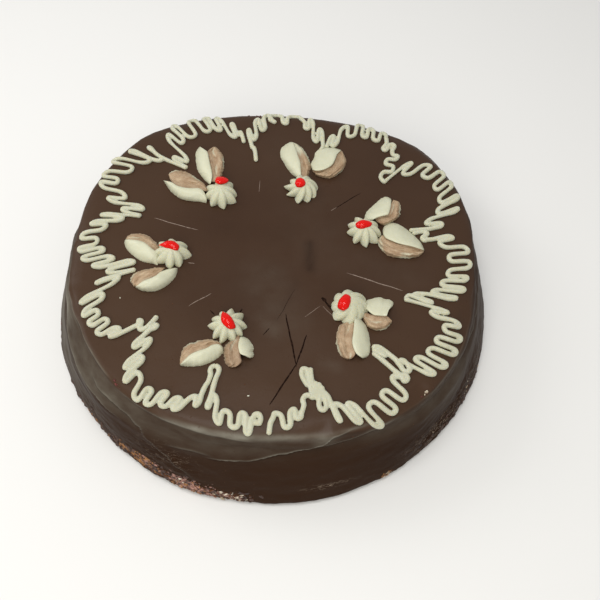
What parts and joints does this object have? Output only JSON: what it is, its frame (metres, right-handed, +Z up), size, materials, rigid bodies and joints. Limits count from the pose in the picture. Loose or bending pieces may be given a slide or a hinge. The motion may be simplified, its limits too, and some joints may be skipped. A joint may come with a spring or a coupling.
{
  "type": "quark cream cake",
  "caption": "Round uncut cream cake under dark chocolate glaze, with a piped zigzag garland, cream rosettes, two-tone chocolate petals and red jelly drops.",
  "frame": {"origin": "centre of the flat foot that the cake rests on", "axes": "+Z up through the top, +X to the right and +Y to the back as the cake is seen in the picture"},
  "size_m": [0.2585, 0.2615, 0.0586],
  "materials": {
    "chocolate_glaze": "satin dark chocolate glaze",
    "piped_cream": "smooth ivory cream",
    "two_tone_chocolate": "waxy white and pale brown chocolate",
    "red_jelly": "wet clear red jelly"
  },
  "bodies": {
    "root": {"cake": "chocolate_glaze", "rosette_1": "piped_cream", "rosette_2": "piped_cream", "rosette_3": "piped_cream", "rosette_4": "piped_cream", "rosette_5": "piped_cream", "rosette_6": "piped_cream", "curl_1a": "two_tone_chocolate", "curl_1b": "two_tone_chocolate", "curl_2a": "two_tone_chocolate", "curl_2b": "two_tone_chocolate", "curl_3a": "two_tone_chocolate", "curl_3b": "two_tone_chocolate", "curl_4a": "two_tone_chocolate", "curl_4b": "two_tone_chocolate", "curl_5a": "two_tone_chocolate", "curl_5b": "two_tone_chocolate", "curl_6a": "two_tone_chocolate", "curl_6b": "two_tone_chocolate", "jelly_1": "red_jelly", "jelly_2": "red_jelly", "jelly_3": "red_jelly", "jelly_4": "red_jelly", "jelly_5": "red_jelly", "jelly_6": "red_jelly"}
  },
  "joints": []
}
